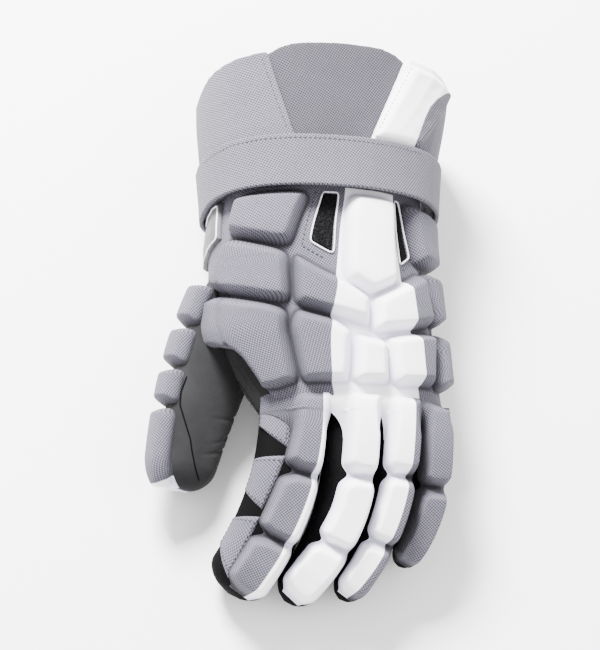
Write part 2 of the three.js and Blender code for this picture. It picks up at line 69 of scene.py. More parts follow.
# %% [markdown]
# ## Camera
# The photograph was taken from almost straight above the back of the hand, a little from the fingertips and
# a little from the thumb's side, with a long lens. A camera is three directions and a place, so those are
# written down: right, up and back, and the point that it looks at.

# %% Camera
RIGHT = Vector((0.9854, 0.0, 0.1701))
UP = Vector((-0.0578, 0.9404, 0.3350))
BACK = Vector((-0.16, -0.34, 0.9267))
DISTANCE = 2.0
PIXEL = 0.55 * MM  # size of one of the photograph's pixels at the glove
FRAME_W, FRAME_H = 600, 650
SENSOR = 36  # the camera's sensor, in millimetres
aim = RIGHT * -9.9 * MM + UP * 14.85 * MM + BACK * 75 * MM
eye = aim + BACK * DISTANCE
bpy.ops.object.camera_add(location=eye)
camera = bpy.context.object
camera.rotation_euler = BACK.to_track_quat("Z", "Y").to_euler()
camera.data.sensor_width = SENSOR
camera.data.lens = SENSOR * DISTANCE / (FRAME_H * PIXEL)
camera.data.clip_end = 20
bpy.context.scene.camera = camera
bpy.context.view_layer.update()
turn = camera.matrix_world.to_3x3().inverted() @ UP
camera.rotation_euler.rotate_axis("Z", -math.atan2(turn.x, turn.y))
bpy.context.view_layer.update()
print("camera up", [round(v, 3) for v in camera.matrix_world.to_3x3() @ Vector((0, 1, 0))])

# %% [markdown]
# ## Light and floor
# A product photograph on white has a large soft light overhead and a bright surround. A low light from one
# side gives the blocks their soft shaded slopes.

# %% Light and floor
bpy.ops.mesh.primitive_plane_add(size=6, location=(0, 0, 0))
floor = bpy.context.object
floor.name = "floor"


def area_light(name, place, size, power):
    """A square lamp that faces the glove; its power is in watts."""
    bpy.ops.object.light_add(type="AREA", location=place)
    light = bpy.context.object
    light.name = name
    light.data.size = size
    light.data.energy = power
    light.rotation_euler = Vector(place).to_track_quat("Z", "Y").to_euler()
    print(name, power, "W at", place)


SURROUND = 1.95  # the strength of the white surround
area_light("key", (-0.55, 0.95, 1.1), 0.5, 190)
area_light("fill", (1.2, -0.3, 1.1), 1.2, 10)
world = bpy.data.worlds.new("surround")
bpy.context.scene.world = world
world.use_nodes = True
world.node_tree.nodes["Background"].inputs["Color"].default_value = (1, 1, 1, 1)
world.node_tree.nodes["Background"].inputs["Strength"].default_value = SURROUND


# %% [markdown]
# ## Writing shader maths as Python
# A woven cloth is a repeated formula. Joining dozens of Math nodes by hand is slow, so a small class holds
# a socket and turns `a * b + c` into the nodes themselves. Any other node comes from one method.

# %% Shader helper
class Socket:
    """A node socket, or a number, that can be used in a Python expression."""

    def __init__(self, tree, value):
        self.tree, self.value = tree, value

    def math(self, operation, *others):
        inputs = dict(enumerate((self, *others)))
        return shader_node(self.tree, "ShaderNodeMath", {"operation": operation}, inputs)

    def __add__(self, other):
        return self.math("ADD", other)

    def __sub__(self, other):
        return self.math("SUBTRACT", other)

    def __rsub__(self, other):
        return Socket(self.tree, other).math("SUBTRACT", self)

    def __mul__(self, other):
        return self.math("MULTIPLY", other)

    __radd__, __rmul__ = __add__, __mul__

    def clamp(self):
        return shader_node(self.tree, "ShaderNodeClamp", {}, {0: self})


def shader_node(tree, kind, settings, inputs, output=0):
    """Adds a node with its settings, fills its inputs with values or links, and gives back one output."""
    node = tree.nodes.new(kind)
    for key, value in settings.items():
        setattr(node, key, value)
    for key, value in inputs.items():
        socket = node.inputs[key]
        value = value.value if isinstance(value, Socket) else value
        if isinstance(value, bpy.types.NodeSocket):
            tree.links.new(value, socket)
        else:
            socket.default_value = value
    return Socket(tree, node.outputs[output])


class Finish:
    """A new material with its Principled shader, and short ways to its coordinates and sockets."""

    def __init__(self, name, **fixed):
        self.material = bpy.data.materials.new(name)
        self.material.use_nodes = True
        self.tree = self.material.node_tree
        self.shader = self.tree.nodes["Principled BSDF"]
        for key, value in fixed.items():
            self.shader.inputs[key.replace("_", " ")].default_value = value

    def node(self, kind, settings=None, inputs=None, output=0):
        return shader_node(self.tree, kind, settings or {}, inputs or {}, output)

    def uv(self):
        """Where a place lies in the cloth: the metres across it and along it."""
        uv = self.node("ShaderNodeUVMap", {"uv_map": "cloth"})
        return [self.node("ShaderNodeSeparateXYZ", {}, {0: uv}, axis) for axis in (0, 1)]

    def place(self):
        return self.node("ShaderNodeTexCoord", output="Object")

    def attribute(self, name):
        return self.node("ShaderNodeAttribute", {"attribute_name": name}, output="Fac")

    def noise(self, scale, detail=3.0):
        inputs = {"Vector": self.place(), "Scale": scale, "Detail": detail}
        return self.node("ShaderNodeTexNoise", {}, inputs, "Fac")

    def blend(self, share, low, high):
        """A colour between two, which are colours or links. Inputs 6 and 7 of a Mix node take colours."""
        low, high = ((*end, 1) if isinstance(end, tuple) else end for end in (low, high))
        return self.node("ShaderNodeMix", {"data_type": "RGBA"}, {0: share, 6: low, 7: high}, 2)

    def set(self, key, socket):
        self.tree.links.new(socket.value, self.shader.inputs[key])

    def bump(self, height, strength, distance):
        inputs = {"Height": height, "Strength": strength, "Distance": distance}
        self.set("Normal", self.node("ShaderNodeBump", {}, inputs, "Normal"))


def linear(red, green, blue):
    """A colour as a picture shows it, from 0 to 255, as the light that a shader works with."""
    return tuple(((c / 255 + 0.055) / 1.055) ** 2.4 for c in (red, green, blue))


# %% [markdown]
# ## The cloths
# The grey padding is a coarse nylon basket weave, and the white padding is a much finer coated cloth. Both
# are one material, and a value painted on the mesh, white, says where each cloth lies, so that the seam
# between them can be crisp. Another, rise, says how far up its block a place is; low on the blocks and in
# the channels the cloth is darkened with painted shade.

# %% Cloth finishes
WEAVE_PITCH = 1.9 * MM
FINE_PITCH = 0.62 * WEAVE_PITCH
WEAVE_LEAN = 0.25  # how far the threads run askew, as a slope
SEAM_SHARPNESS = 2600.0  # per metre, so one cloth gives way to the other within 0.4 mm
# PALE_SHADE is painted shade: the lavender grey that the white cloth is darkened to in its channels.
PALE, PALE_LIGHT, PALE_SHADE = linear(216, 214, 226), linear(250, 250, 252), linear(196, 193, 212)


def weave(finish, pitch):
    """A plain weave of threads that cross over and under, seen as a chequer of small round lights."""
    u, v = finish.uv()
    across = ((u + v * WEAVE_LEAN) * (2 * math.pi / pitch)).math("SINE")
    along = ((v - u * WEAVE_LEAN) * (2 * math.pi / pitch)).math("SINE")
    return across * along * 0.5 + 0.5


def padding_finish(name, light, dark):
    """Grey woven cloth with light threads and dark gaps, and fine white cloth past the seam, both darkened
    with painted shade in the channels between blocks.
    """
    cloth = Finish(name, Sheen_Weight=0.04, Sheen_Roughness=0.5, Specular_IOR_Level=0.25)
    threads = weave(cloth, WEAVE_PITCH)
    fine = weave(cloth, FINE_PITCH)
    wear = cloth.noise(45, 4)
    fuzz = cloth.noise(1100, 2)
    # Painted shade: valley and groove are high low on a block and in the narrow channels, where the cloth
    # is darkened as if in shade.
    valley = 1 - (cloth.attribute("rise") * 1.3).clamp()
    groove = 1 - (cloth.attribute("rise") * 3.5).clamp()
    grey = cloth.blend((threads * 1.2 + fuzz * 0.5 - 0.38).clamp(), linear(*dark), linear(*light))
    pale = cloth.blend((fine * 0.5 + 0.5).clamp(), PALE, PALE_LIGHT)
    side = (cloth.attribute("white") * SEAM_SHARPNESS + 0.5).clamp()
    colour = cloth.blend(side, grey, pale)
    # shade is the painted channel shade colour: darker grey on the grey cloth, lavender grey on the white.
    shade = cloth.blend(side, linear(*[tone * 0.55 for tone in dark]), PALE_SHADE)
    # Real uneven wear from the wear noise, plus the painted channel shade from valley and groove.
    wear_and_painted_shade = (valley * 0.6 + groove * 0.22 + wear * 0.3 - 0.12).clamp()
    cloth.set("Base Color", cloth.blend(wear_and_painted_shade, colour, shade))
    cloth.set("Roughness", 0.88 - side * 0.26 + fuzz * 0.06)
    cloth.bump(threads * (1 - side) + fine * side * 0.3 + wear * 0.4, 0.75, 0.0004)
    return cloth.material


grey_padding = padding_finish("grey_and_white_padding", (110, 108, 119), (46, 44, 53))
cuff_weave = padding_finish("cuff_weave", (112, 110, 120), (46, 45, 52))
dark_weave = padding_finish("cuff_back_weave", (84, 82, 90), (32, 31, 36))

black = Finish("black_stretch_cloth", Sheen_Weight=0.0, Specular_IOR_Level=0.05)
ribs = weave(black, 1.3 * MM)
black.set("Base Color", black.blend(ribs, linear(1, 1, 1), linear(9, 9, 10)))
black.set("Roughness", 0.78 + black.noise(60) * 0.15)
black.bump(ribs + black.noise(70, 5) * 2.0, 0.5, 0.0003)

suede = Finish("dark_suede", Sheen_Weight=0.06, Sheen_Roughness=0.6, Specular_IOR_Level=0.08)
nap = suede.noise(240, 6)
cloud = suede.noise(26, 4)
suede.set("Base Color", suede.blend((cloud * 1.5 - 0.25).clamp(), linear(11, 11, 11), linear(44, 44, 46)))
suede.set("Roughness", 0.85 + nap * 0.12)
suede.bump(nap + suede.noise(1500, 2) * 0.5, 0.45, 0.0003)

mesh_cloth = Finish("black_hex_mesh", Specular_IOR_Level=0.06)
holes = {"Vector": mesh_cloth.place(), "Scale": 640.0}
cells = mesh_cloth.node("ShaderNodeTexVoronoi", {"feature": "DISTANCE_TO_EDGE"}, holes, "Distance")
net = (1 - cells * 5.0).clamp()
mesh_cloth.set("Base Color", mesh_cloth.blend(net, linear(1, 1, 1), linear(17, 17, 19)))
mesh_cloth.set("Roughness", 0.9 - net * 0.3)
mesh_cloth.bump(net, 0.7, 0.0004)


def plain_finish(name, grain, low, high, roughness, **fixed):
    """A finish whose colour and roughness only change a little, each with noise of its own scale."""
    finish = Finish(name, **fixed)
    finish.set("Base Color", finish.blend(finish.noise(grain), low, high))
    least, scale, change = roughness
    finish.set("Roughness", least + finish.noise(scale) * change)
    return finish


flap_skin = plain_finish(
    "grey_flap_skin", 30, linear(66, 66, 69), linear(86, 86, 89), (0.42, 400, 0.2), Specular_IOR_Level=0.15)
flap_skin.bump(flap_skin.noise(700), 0.15, 0.0002)
thread = plain_finish(
    "grey_thread", 2500, linear(20, 19, 23), linear(44, 43, 49), (0.6, 900, 0.2), Sheen_Weight=0.2)
white_piping = plain_finish(
    "white_piping", 900, linear(205, 204, 212), linear(240, 240, 242), (0.6, 700, 0.2),
    Specular_IOR_Level=0.3)
pale_floor = plain_finish(
    "pale_floor", 2, (0.93, 0.93, 0.93), (0.95, 0.95, 0.95), (0.9, 3, 0.05), Specular_IOR_Level=0.1)
floor.data.materials.append(pale_floor.material)
print("materials", sorted(bpy.data.materials.keys()))


# %% [markdown]
# ## Tools for a soft piece
# The cuff's padded pieces start as copies of their solids. A voxel remesh welds the copies into one skin,
# and smoothing turns their hard edges into the soft shoulders of cloth over foam.

# %% Tools
def only(*objects):
    """Selects these objects and nothing else, in object mode."""
    if bpy.context.object and bpy.context.object.mode != "OBJECT":
        bpy.ops.object.mode_set(mode="OBJECT")
    bpy.ops.object.select_all(action="DESELECT")
    for o in objects:
        o.select_set(True)
    bpy.context.view_layer.objects.active = objects[0]


def copy_of(name, *nodes):
    """One new mesh from copies of CAD nodes, its loose triangles merged."""
    only(*[frame["nodes"][n] for n in nodes])
    bpy.ops.object.duplicate(linked=False)
    copies = list(bpy.context.selected_objects)
    for o in copies:
        o.parent = None
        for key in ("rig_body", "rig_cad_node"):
            del o[key]
        o.data.materials.clear()
    only(*copies)
    if len(copies) > 1:
        bpy.ops.object.join()
    piece = bpy.context.object
    piece.name = piece.data.name = name
    bpy.ops.object.mode_set(mode="EDIT")
    bpy.ops.mesh.select_all(action="SELECT")
    bpy.ops.mesh.remove_doubles(threshold=1e-6)
    bpy.ops.object.mode_set(mode="OBJECT")
    return piece


def apply(piece, kind, **settings):
    """Adds a modifier and applies it at once."""
    only(piece)
    modifier = piece.modifiers.new(kind.lower(), kind)
    for key, value in settings.items():
        setattr(modifier, key, value)
    bpy.ops.object.modifier_apply(modifier=modifier.name)


def weld(piece, voxel, rounds, swell=0.0):
    """Welds a piece into one skin of even quads and softens it."""
    if swell:
        apply(piece, "DISPLACE", strength=swell, mid_level=0.0)
    only(piece)
    piece.data.remesh_voxel_size = voxel
    bpy.ops.object.voxel_remesh()
    apply(piece, "SMOOTH", factor=0.5, iterations=rounds)
    bpy.ops.object.shade_smooth()


def tree_of(*pieces):
    """A search tree over the faces of some pieces."""
    points, faces = [], []
    for piece in pieces:
        first = len(points)
        points += [v.co.copy() for v in piece.data.vertices]
        faces += [[first + i for i in p.vertices] for p in piece.data.polygons]
    return BVHTree.FromPolygons(points, faces)


def finished(piece, material, *nodes, slot=None, fill=None):
    """The last steps of every piece: its finish, the nodes it stands for, and the body it rides on."""
    piece.data.materials.clear()
    piece.data.materials.append(material)
    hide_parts(*nodes)
    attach(piece, "root")
    print(piece.name, len(piece.data.polygons), "faces")
    return piece


# %% [markdown]
# ## The shape under the padding
# The glove's hand and its digits are smooth ovals that change along their length. The model's own sizes are
# repeated here, so that cloth can be laid over the same shapes far more finely than its flat facets. A
# place on either is a share of the way along it and a turn round it in degrees.

# %% Hand and digits
HAND_LENGTH, HAND_WIDTH, HAND_HEIGHT = 136 * MM, 132 * MM, 85 * MM
WRIST_Y = 0.63 * HAND_LENGTH
KNUCKLE_Y = WRIST_Y - HAND_LENGTH
HAND_SECTIONS = np.array([
    # along, left, right, top, middle, bottom
    [0.0, -0.475, 0.375, 1.0, 0.49, 0.03],
    [0.3, -0.508, 0.385, 0.976, 0.48, -0.03],
    [0.52, -0.508, 0.41, 0.941, 0.47, -0.03],
    [0.72, -0.5, 0.435, 0.882, 0.47, -0.015],
    [0.88, -0.385, 0.45, 0.824, 0.48, 0.14],
    [1.0, -0.305, 0.47, 0.776, 0.49, 0.2],
])
SECTION_BLUR = (-0.03, -0.015, 0.0, 0.015, 0.03)  # a section is the mean of those at these steps along
BACK_SQUARENESS, PALM_SQUARENESS, DIGIT_SQUARENESS = 2.3, 3.2, 2.4  # 2 is an ellipse
TIP_FROM = 0.88  # where a digit starts to close


def signed_power(value, power):
    return np.sign(value) * np.abs(value) ** power


def hand_skin(along, turn):
    """Points of the hand. Turn 0 is the little finger's side, 90 the back, 180 the thumb's side."""
    places = [np.clip(along + step, 0, 1) for step in SECTION_BLUR]
    left, right, top, middle, bottom = (
        np.mean([np.interp(place, HAND_SECTIONS[:, 0], column) for place in places], axis=0)
        for column in HAND_SECTIONS[:, 1:].T)
    c, s = np.cos(np.radians(turn)), np.sin(np.radians(turn))
    power = np.where(s >= 0, 2 / BACK_SQUARENESS, 2 / PALM_SQUARENESS)
    reach = np.where(s >= 0, top - middle, middle - bottom)
    x = (left + right) / 2 + (right - left) / 2 * signed_power(c, power)
    z = middle + reach * signed_power(s, power)
    return np.stack([x * HAND_WIDTH, WRIST_Y - along * HAND_LENGTH, z * HAND_HEIGHT], axis=-1)


def unit(vectors):
    return vectors / np.linalg.norm(vectors, axis=-1, keepdims=True)


def lifted(skin, u, v, lift):
    """Points of a skin moved off it along its outward normal."""
    across = skin(u, v + 1.0) - skin(u, v - 1.0)
    down = skin(u + 0.01, v) - skin(u - 0.01, v)
    return skin(u, v) + unit(np.cross(across, down)) * lift


class Digit:
    """A finger or thumb: an oval that runs along a Bezier path and is turned about it by a roll."""

    def __init__(self, path, roll, width, height, taper, swell=0.0):
        self.width, self.height, self.taper, self.swell = width, height, taper, swell
        t = np.linspace(0, 1, 400)[:, None]
        degree = len(path) - 1
        self.curve = sum(math.comb(degree, i) * t**i * (1 - t) ** (degree - i) * np.array(point)
                         for i, point in enumerate(path))
        self.reached = np.concatenate([[0], np.cumsum(np.linalg.norm(np.diff(self.curve, axis=0), axis=1))])
        self.length = self.reached[-1]
        self.heading = unit(np.gradient(self.curve, axis=0))
        self.up = np.array([math.sin(math.radians(roll)), 0, math.cos(math.radians(roll))])

    def follow(self, values, t):
        """A value kept for each point of the path, read at shares of its length."""
        reached = np.clip(t, 0, 1) * self.length
        return np.stack([np.interp(reached, self.reached, column) for column in values.T], axis=-1)

    def frame(self, t):
        """The path's points, and the directions to the digit's side and back there."""
        tangent = unit(self.follow(self.heading, t))
        centre = self.follow(self.curve, t) + tangent * ((t - np.clip(t, 0, 1)) * self.length)[..., None]
        side = unit(np.cross(self.up, tangent))
        return centre, side, np.cross(tangent, side)

    def size(self, t):
        """The digit's girth along it, as a share of its full girth."""
        into_tip = np.clip((t - TIP_FROM) / (1 - TIP_FROM), 0, 1)
        along = np.clip(t, 0, 1)
        body = 1 - (1 - self.taper) * along**1.5 + self.swell * np.sin(math.pi * along)
        return body * np.sqrt(np.maximum(1 - into_tip**2, 0.0009))

    def at(self, t, turn, crown=None):
        """A point of the digit's skin, or of the level that stands a height called crown over its back."""
        centre, side, up = self.frame(t)
        power = 2 / DIGIT_SQUARENESS
        across = self.width / 2 * self.size(t) * signed_power(np.cos(np.radians(turn)), power)
        rise = self.height / 2 * self.size(t) * signed_power(np.sin(np.radians(turn)), power)
        if crown is not None:
            rise = self.height / 2 * self.size(t) + crown
        return centre + side * across[..., None] + up * rise[..., None]


FINGER_SIZES = [
    # name, share of the knuckles, length, height, taper, swell, roll, tip across, lean of the last joint
    ("index", 0.346, 0.975, 1.0, 1.0, 0.05, 0, -0.4, 0.18),
    ("middle", 0.265, 1.0, 1.0, 0.9, 0.09, 2, -0.16, 0.25),
    ("ring", 0.215, 0.975, 0.97, 0.88, 0.02, 5, 0.075, 0.2),
    ("little", 0.174, 0.77, 0.92, 0.86, 0.0, 7, 0.33, 0.12),
]
FINGER_LENGTH, FINGER_HEIGHT = 101 * MM, 27 * MM
FINGER_GAP = 0.8 * MM  # between the stalls of two fingers
LITTLE_OUT = 3.5 * MM  # how far the little finger stands out past the knuckles
_, knuckle_left, knuckle_right, knuckle_top, _, knuckle_bottom = HAND_SECTIONS[-1]
knuckle_left *= HAND_WIDTH
knuckle_span = knuckle_right * HAND_WIDTH + LITTLE_OUT - knuckle_left
digits = {}
reached = knuckle_left
for name, share, long, high, taper, swell, roll, tip_across, lean in FINGER_SIZES:
    width, height, length = share * knuckle_span, FINGER_HEIGHT * high, FINGER_LENGTH * long
    x = reached + width / 2
    reached += width
    arch = abs((x - knuckle_left) / knuckle_span - 0.42) ** 2 * HAND_HEIGHT * 0.25
    root_z = (knuckle_bottom + (knuckle_top - knuckle_bottom) * 0.56) * HAND_HEIGHT - arch
    root = np.array([x, KNUCKLE_Y - 0.6 * MM, root_z])
    tip = np.array([tip_across * HAND_WIDTH, root[1] - length, height / 2 * min(1, taper) + 0.2 * MM])
    bend = tip + np.array([lean * HAND_WIDTH, 0.34 * length, (root[2] - tip[2]) * 0.45])
    path = [root, root + np.array([0, -0.38 * length, 0]), bend, tip]
    digits[name] = Digit(path, roll, width - FINGER_GAP, height, taper, swell)
THUMB_LENGTH, THUMB_WIDTH, THUMB_HEIGHT, THUMB_ROLL = 122 * MM, 50 * MM, 23 * MM, 217
thumb_path = [
    (-0.3 * HAND_WIDTH, 0.2 * HAND_LENGTH, 0.48 * HAND_HEIGHT),
    (-0.53 * HAND_WIDTH, -0.13 * HAND_LENGTH, 0.39 * HAND_HEIGHT),
    (-0.6 * HAND_WIDTH, 0.2 * HAND_LENGTH - THUMB_LENGTH, 0.275 * HAND_HEIGHT),
]
thumb_sizes = (thumb_path, THUMB_ROLL, THUMB_WIDTH, THUMB_HEIGHT)
digits["thumb"] = Digit(*thumb_sizes, taper=0.64)
full_thumb = Digit(*thumb_sizes, taper=0.68, swell=0.1)  # the suede bulges between its seams
print("digits", {name: round(digit.length / MM) for name, digit in digits.items()})

# %% [markdown]
# ## Cloth over foam
# A quilt is a fine sheet over a skin. Where a foam block lies under it the sheet rises with the distance
# from the block's edge: a short steep side, a slope, and a flat top. Between blocks it stays down, and
# those valleys are the channels. Its coordinates are kept in metres for the weave. Foam keeps its height,
# so this is worked out by a formula and not by a cloth simulation, which would only inflate it.

# %% Quilting tools
# How far in from its edge a block's side has got, in bevels, and how far up it is there.
SLOPE_STEPS = [0.0, 0.12, 0.3, 0.85, 1.05, 1.6]
SLOPE_RISE = [0.0, 0.3, 0.5, 0.95, 0.99, 1.0]


def inside(outline, u, v):
    """Which places lie in a closed outline of places, by counting the sides that each one is beside."""
    count = np.zeros(u.shape, dtype=int)
    for (u0, v0), (u1, v1) in zip(outline, np.roll(outline, -1, axis=0)):
        beside = (v0 > v) != (v1 > v)
        with np.errstate(divide="ignore", invalid="ignore"):
            crossing = (u1 - u0) * (v - v0) / (v1 - v0) + u0
        count += beside & (u < crossing)
    return count % 2 == 1


def distance_to(path, points):
    """The distance from each point to a closed path of points, or 1 where it is further than that."""
    best = np.full(len(points), 1.0)
    for a, b in zip(path, np.roll(path, -1, axis=0)):
        run = b - a
        share = np.clip((points - a) @ run / max(run @ run, 1e-12), 0, 1)
        best = np.minimum(best, np.linalg.norm(points - a - share[:, None] * run, axis=1))
    return best


def rises(base, u, v, outlines, bevel):
    """How far up its block each place is, from 0 in a channel to 1 on top."""
    points = base(u, v).reshape(-1, 3)
    flat_u, flat_v = u.ravel(), v.ravel()
    rise = np.zeros(flat_u.shape)
    for outline in outlines:
        near = (flat_u >= outline[:, 0].min()) & (flat_u <= outline[:, 0].max())
        near[near] = inside(outline, flat_u[near], flat_v[near])
        edge = base(outline[:, 0], outline[:, 1])
        rise[near] = np.interp(distance_to(edge, points[near]) / bevel, SLOPE_STEPS, SLOPE_RISE)
    return rise.reshape(u.shape)


def eased(field, rounds):
    """A field on the grid with its kinks softened."""
    for _ in range(rounds):
        p = np.pad(field, 1, mode="edge")
        field = (p[:-2, 1:-1] + p[2:, 1:-1] + p[1:-1, :-2] + p[1:-1, 2:] + 4 * field) / 8
    return field


def sheet_mesh(name, points, attributes=None):
    """A mesh of quads from a grid of points, with cloth coordinates in metres and values painted on it."""
    rows, columns = points.shape[:2]
    faces = [(i * columns + j, i * columns + j + 1, (i + 1) * columns + j + 1, (i + 1) * columns + j)
             for i in range(rows - 1) for j in range(columns - 1)]
    mesh = bpy.data.meshes.new(name)
    mesh.from_pydata(points.reshape(-1, 3).tolist(), [], faces)
    widths = np.linalg.norm(np.diff(points, axis=1), axis=-1)
    across = np.concatenate([np.zeros((rows, 1)), np.cumsum(widths, axis=1)], axis=1)
    across -= across[:, columns // 2][:, None]
    steps = np.linalg.norm(np.diff(points[:, columns // 2], axis=0), axis=-1)
    along = np.repeat(np.concatenate([[0], np.cumsum(steps)])[:, None], columns, axis=1)
    places = np.stack([across, along], axis=-1).reshape(-1, 2)
    corner = np.array([loop.vertex_index for loop in mesh.loops])
    mesh.uv_layers.new(name="cloth").data.foreach_set("uv", places[corner].ravel())
    for key, values in (attributes or {}).items():
        mesh.attributes.new(key, "FLOAT", "POINT").data.foreach_set("value", values.ravel().astype(float))
    piece = bpy.data.objects.new(name, mesh)
    bpy.context.collection.objects.link(piece)
    only(piece)
    bpy.ops.object.shade_smooth()
    return piece


def tuck(points, under, *borders):
    """Turns the borders of a sheet down to a lower level, where its neighbours hide them."""
    for border in borders:
        points[border] = under[border]


def keep_near(piece, nodes, reach):
    """Cuts away the faces of a piece that lie further than reach from these nodes."""
    tree = tree_of(*[frame["nodes"][n] for n in nodes])
    mesh = bmesh.new()
    mesh.from_mesh(piece.data)
    far = [f for f in mesh.faces if (tree.find_nearest(f.calc_center_median())[3] or 0) > reach]
    bmesh.ops.delete(mesh, geom=far, context="FACES")
    mesh.to_mesh(piece.data)
    mesh.free()


# %% [markdown]
# ## Seams, piping and stitches
# Foam blocks get outlines with softened corners. Piping is a round cord, and a row of stitches is the same
# cord cut into short lengths. Both are laid on the cloth that carries them.

# %% Seams, piping and stitches
LARGEST_STEP = 8 * MM
CORD_END = 0.45  # how thick a cord's ends are, as a share of its middle
SIDEWAYS = np.array([0.21, 0.13, 0.97])  # a direction that no cord here runs along


def rounded(corners, per_side=12, rounds=5):
    """A closed outline through its corners, with each corner softened."""
    corners = np.array(corners, dtype=float)
    ring = []
    for a, b in zip(corners, np.roll(corners, -1, axis=0)):
        ring += [a + (b - a) * k / per_side for k in range(per_side)]
    ring = np.array(ring)
    for _ in range(rounds):
        ring = (np.roll(ring, 1, axis=0) + 2 * ring + np.roll(ring, -1, axis=0)) / 4
    return ring


def signed_distance(base, outline, u, v):
    """How far each place lies inside an outline, in metres; less than zero outside it."""
    flat_u, flat_v = u.ravel(), v.ravel()
    far = distance_to(base(outline[:, 0], outline[:, 1]), base(flat_u, flat_v))
    return np.where(inside(outline, flat_u, flat_v), far, -far).reshape(u.shape)


def spaced(path, step):
    """Points at even steps along a path."""
    path = np.array(path, dtype=float)
    reached = np.concatenate([[0], np.cumsum(np.linalg.norm(np.diff(path, axis=0), axis=1))])
    places = np.linspace(0, reached[-1], max(3, round(reached[-1] / step) + 1))
    return np.stack([np.interp(places, reached, column) for column in path.T], axis=-1)


def laid_on(points, piece, lift):
    """The points moved to the nearest place on a piece, and lifted off it."""
    tree, laid = tree_of(piece), []
    for point in points:
        place, normal, _, _ = tree.find_nearest(Vector(point))
        outward = normal if normal.dot(Vector(point) - place) >= 0 else -normal
        laid.append(place + outward * lift)
    return np.array(laid)


def seen_on(pixels, piece, lift):
    """Where the photograph's pixels meet a piece, seen from the camera, lifted a little towards it. A pixel
    that misses the piece, or meets it further on than LARGEST_STEP, is left out."""
    tree, laid = tree_of(piece), []
    for x, y in pixels:
        target = aim + RIGHT * ((x - FRAME_W / 2) * PIXEL) + UP * ((FRAME_H / 2 - y) * PIXEL)
        heading = (target - eye).normalized()
        place = tree.ray_cast(eye, heading)[0]
        if place is not None and (not laid or (laid[-1] - place).length < LARGEST_STEP):
            laid.append(place - heading * lift)
    return np.array(laid)


def cord(name, paths, radius, material, sides=7):
    """Round cords along paths, joined in one piece."""
    points, faces = [], []
    angle = np.linspace(0, 2 * math.pi, sides, endpoint=False)
    for path in paths:
        heading = unit(np.gradient(path, axis=0))
        side = unit(np.cross(heading, SIDEWAYS))
        up = np.cross(heading, side)
        girth = np.full(len(path), radius)
        girth[[0, -1]] *= CORD_END
        ring = side[:, None] * np.cos(angle)[:, None] + up[:, None] * np.sin(angle)[:, None]
        first = len(points)
        points += (path[:, None] + ring * girth[:, None, None]).reshape(-1, 3).tolist()
        for i in range(len(path) - 1):
            for j in range(sides):
                a, b = first + i * sides + j, first + i * sides + (j + 1) % sides
                faces.append((a, a + sides, b + sides, b))
        faces.append(tuple(range(first, first + sides)))
        faces.append(tuple(range(len(points) - 1, len(points) - sides - 1, -1)))
    mesh = bpy.data.meshes.new(name)
    mesh.from_pydata(points, [], faces)
    piece = bpy.data.objects.new(name, mesh)
    bpy.context.collection.objects.link(piece)
    only(piece)
    bpy.ops.object.shade_smooth()
    mesh.materials.append(material)
    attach(piece, "root")
    print(name, len(paths), "lengths")


def stitches_along(path, step=0.55 * MM):
    """A path cut into stitches of three steps, with two steps between them."""
    points = spaced(path, step)
    return [points[i:i + 4] for i in range(0, len(points) - 3, 5)]


def closed(path):
    """A ring of points that ends where it starts."""
    return np.vstack([path, path[:1]])


# %% [markdown]
# ## The back of the hand
# Foam blocks lie flush under one skin of cloth, with narrow grooves between them. Each outline is a ring of
# places on the hand: the share along it from the wrist, and the turn round it from the little finger's
# side. The white cloth is one long panel, so some of its seams run over the tops of blocks, and two solids
# that meet at such a seam are one block here. The cloth ends at the knuckles, and over the thumb's web it
# ends along an arch.

# %% The back of the hand
BLOCKS = [
    (("thumb_back_pad_1",), ((0.163, 98), (0.408, 108), (0.33, 149), (0.168, 145))),
    (("thumb_back_pad_2",), ((0.335, 149.5), (0.42, 109), (0.643, 108.5), (0.545, 166))),
    (("thumb_back_pad_3",), ((0.552, 168), (0.65, 108.5), (0.935, 119), (0.957, 136), (0.953, 150),
                             (0.895, 150), (0.825, 151), (0.79, 154), (0.76, 167), (0.755, 184))),
    (("centre_pad",), ((0.165, 83.5), (0.165, 55), (0.505, 55.5), (0.532, 58.5), (0.585, 73), (0.527, 86))),
    (("index_base_pad_1", "knuckle_pad_1"),
     ((0.425, 107), (0.522, 87), (0.593, 73), (0.71, 74), (0.677, 90.5), (0.637, 107))),
    (("knuckle_pad_2", "ring_side_pad_1"),
     ((0.593, 72), (0.525, 56), (0.443, 35), (0.66, 27), (0.703, 48), (0.738, 74))),
    (("index_base_pad_2", "knuckle_pad_3"),
     ((0.653, 107), (0.684, 90.5), (0.735, 83.5), (0.937, 91.5), (0.94, 100), (0.943, 118.5))),
    (("knuckle_pad_4",), ((0.742, 82.5), (0.757, 68.5), (0.772, 65.5), (0.935, 70.5), (0.941, 91))),
    (("knuckle_pad_5", "ring_side_pad_2"),
     ((0.752, 67), (0.728, 57.5), (0.7, 38.5), (0.69, 26.5), (0.92, 33), (0.93, 49), (0.94, 69.5))),
    (("little_side_pad_1",), ((0.165, 50), (0.165, 4), (0.385, -1), (0.42, 28.5), (0.413, 40))),
    (("little_side_pad_2",), ((0.435, 33.5), (0.405, -2), (0.61, -3), (0.668, 26.5))),
    (("little_side_pad_3",), ((0.682, 25.5), (0.655, -3), (0.9, -3), (0.928, 31))),
]
WHITE_PANEL = (
    (-0.05, 84), (0.165, 84), (0.525, 88.6), (0.67, 90.9), (0.693, 90.5), (0.92, 99.5), (1.05, 103),
    (1.05, 50), (0.922, 48), (0.728, 46), (0.69, 48), (0.54, 50), (0.487, 51.5), (0.165, 54.5), (-0.05, 55),
)
CHANNEL = 0.8 * MM  # half of a channel's floor between the digits' blocks
